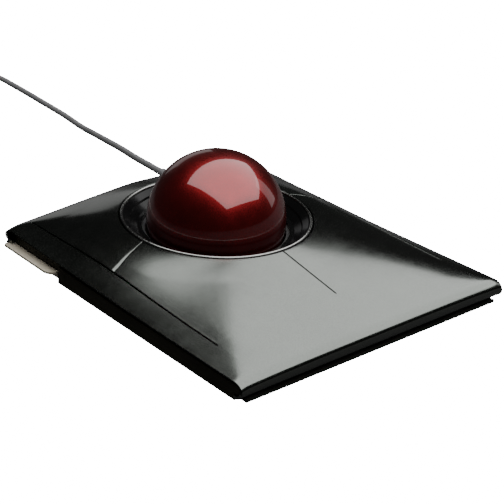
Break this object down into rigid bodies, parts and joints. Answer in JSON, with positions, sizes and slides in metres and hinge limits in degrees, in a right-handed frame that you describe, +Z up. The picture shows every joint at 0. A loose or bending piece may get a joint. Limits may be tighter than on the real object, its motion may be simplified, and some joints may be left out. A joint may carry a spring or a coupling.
{
  "type": "wired desktop trackball",
  "caption": "Wired trackball: a thin sloping graphite deck with a large red ball in a black bowl, buttons cut from its top sheet, and a cable with a USB plug.",
  "frame": {"origin": "on the desk, below the middle of the body's box", "axes": "+X to the user's right, +Y away from the user, +Z up"},
  "size_m": [0.1681, 0.4459, 0.057],
  "materials": {
    "graphite_sheet": "dark graphite metallic lacquer, satin gloss with fine flake",
    "dark_case": "fine matte grain",
    "side_cap": "matte dark olive",
    "light_insert": "light champagne, satin",
    "black_gloss": "polished black",
    "bright_bead": "polished",
    "ball_red": "deep red resin, polished",
    "steel": "plain",
    "sensor_red": "clear red window",
    "circuit_board": "solder-masked board",
    "black_plastic": "fine matte",
    "white_plastic": "satin",
    "can_metal": "satin",
    "rubber": "matte",
    "label": "blank silver label",
    "cable_jacket": "smooth dark grey jacket",
    "plug_metal": "plated"
  },
  "bodies": {
    "case": {"bottom_shell": "dark_case", "top_frame": "graphite_sheet", "side_cap_left": "side_cap", "side_cap_right": "side_cap", "side_insert_left": "light_insert", "side_insert_right": "light_insert", "ball_bezel": "black_gloss", "bezel_lip": "bright_bead", "ball_socket": "black_plastic", "support_bearings": "steel", "sensor_left": "black_plastic", "sensor_right": "black_plastic", "sensor_windows": "sensor_red", "main_board": "circuit_board", "controller_chip": "black_plastic", "board_parts": "can_metal", "buzzer": "black_plastic", "cable_connector": "white_plastic", "inner_lead": "cable_jacket", "switch_board_left": "circuit_board", "switch_board_right": "circuit_board", "switch_bodies": "black_plastic", "case_screws": "steel", "board_screws": "steel", "rubber_feet": "rubber", "rating_label": "label", "strain_relief": "cable_jacket", "cable": "cable_jacket", "cable_coil": "cable_jacket", "cable_end": "cable_jacket", "cable_tie": "black_plastic", "plug_grip": "black_plastic", "plug_shell": "plug_metal", "plug_tongue": "white_plastic"},
    "button_front_left": {"button_front_left": "graphite_sheet"},
    "button_front_right": {"button_front_right": "graphite_sheet"},
    "button_rear_left": {"button_rear_left": "graphite_sheet"},
    "button_rear_right": {"button_rear_right": "graphite_sheet"},
    "plunger_front_left": {"plunger_front_left": "white_plastic"},
    "plunger_front_right": {"plunger_front_right": "white_plastic"},
    "plunger_rear_left": {"plunger_rear_left": "white_plastic"},
    "plunger_rear_right": {"plunger_rear_right": "white_plastic"},
    "ball_heart": {"ball_heart": "ball_red"},
    "ball_inner": {"ball_inner": "ball_red"},
    "ball_outer": {"ball_outer": "ball_red"},
    "ball_skin": {"ball_skin": "ball_red"}
  },
  "joints": [
    {"name": "front_left_press", "type": "hinge", "parent": "case", "child": "button_front_left", "pos_m": [0, -0.0488, 0.01762], "axis": [1, 0, 0], "range_deg": [-0.9, 0], "stiffness_Nm_per_rad": 2.2, "springref_deg": 0.69},
    {"name": "rear_left_press", "type": "hinge", "parent": "case", "child": "button_rear_left", "pos_m": [0, 0.06616, 0.02768], "axis": [1, 0, 0], "range_deg": [0, 1.2], "stiffness_Nm_per_rad": 1.2, "springref_deg": -0.86},
    {"name": "front_left_plunge", "type": "slide", "parent": "case", "child": "plunger_front_left", "axis": [0, -0.0872, 0.9962], "range_m": [-0.0009, 0]},
    {"name": "rear_left_plunge", "type": "slide", "parent": "case", "child": "plunger_rear_left", "axis": [0, -0.0872, 0.9962], "range_m": [-0.0009, 0]},
    {"name": "front_right_press", "type": "hinge", "parent": "case", "child": "button_front_right", "pos_m": [0, -0.0488, 0.01762], "axis": [1, 0, 0], "range_deg": [-0.9, 0], "stiffness_Nm_per_rad": 2.2, "springref_deg": 0.69},
    {"name": "rear_right_press", "type": "hinge", "parent": "case", "child": "button_rear_right", "pos_m": [0, 0.06616, 0.02768], "axis": [1, 0, 0], "range_deg": [0, 1.2], "stiffness_Nm_per_rad": 1.2, "springref_deg": -0.86},
    {"name": "front_right_plunge", "type": "slide", "parent": "case", "child": "plunger_front_right", "axis": [0, -0.0872, 0.9962], "range_m": [-0.0009, 0]},
    {"name": "rear_right_plunge", "type": "slide", "parent": "case", "child": "plunger_rear_right", "axis": [0, -0.0872, 0.9962], "range_m": [-0.0009, 0]},
    {"name": "ball_lift", "type": "slide", "parent": "case", "child": "ball_heart", "axis": [0, -0.0872, 0.9962], "range_m": [0, 0.045]},
    {"name": "ball_roll_forward", "type": "hinge", "parent": "ball_heart", "child": "ball_inner", "pos_m": [0, 0.01752, 0.02954], "axis": [1, 0, 0], "continuous": true},
    {"name": "ball_roll_sideways", "type": "hinge", "parent": "ball_inner", "child": "ball_outer", "pos_m": [0, 0.01752, 0.02954], "axis": [0, 0.9962, 0.0872], "continuous": true},
    {"name": "ball_twist", "type": "hinge", "parent": "ball_outer", "child": "ball_skin", "pos_m": [0, 0.01752, 0.02954], "axis": [0, -0.0872, 0.9962], "continuous": true}
  ],
  "couplings": [
    {"joint": "front_left_plunge", "follows": "front_left_press", "m_per_rad": 0.0492},
    {"joint": "rear_left_plunge", "follows": "rear_left_press", "m_per_rad": -0.0302},
    {"joint": "front_right_plunge", "follows": "front_right_press", "m_per_rad": 0.0492},
    {"joint": "rear_right_plunge", "follows": "rear_right_press", "m_per_rad": -0.0302}
  ]
}
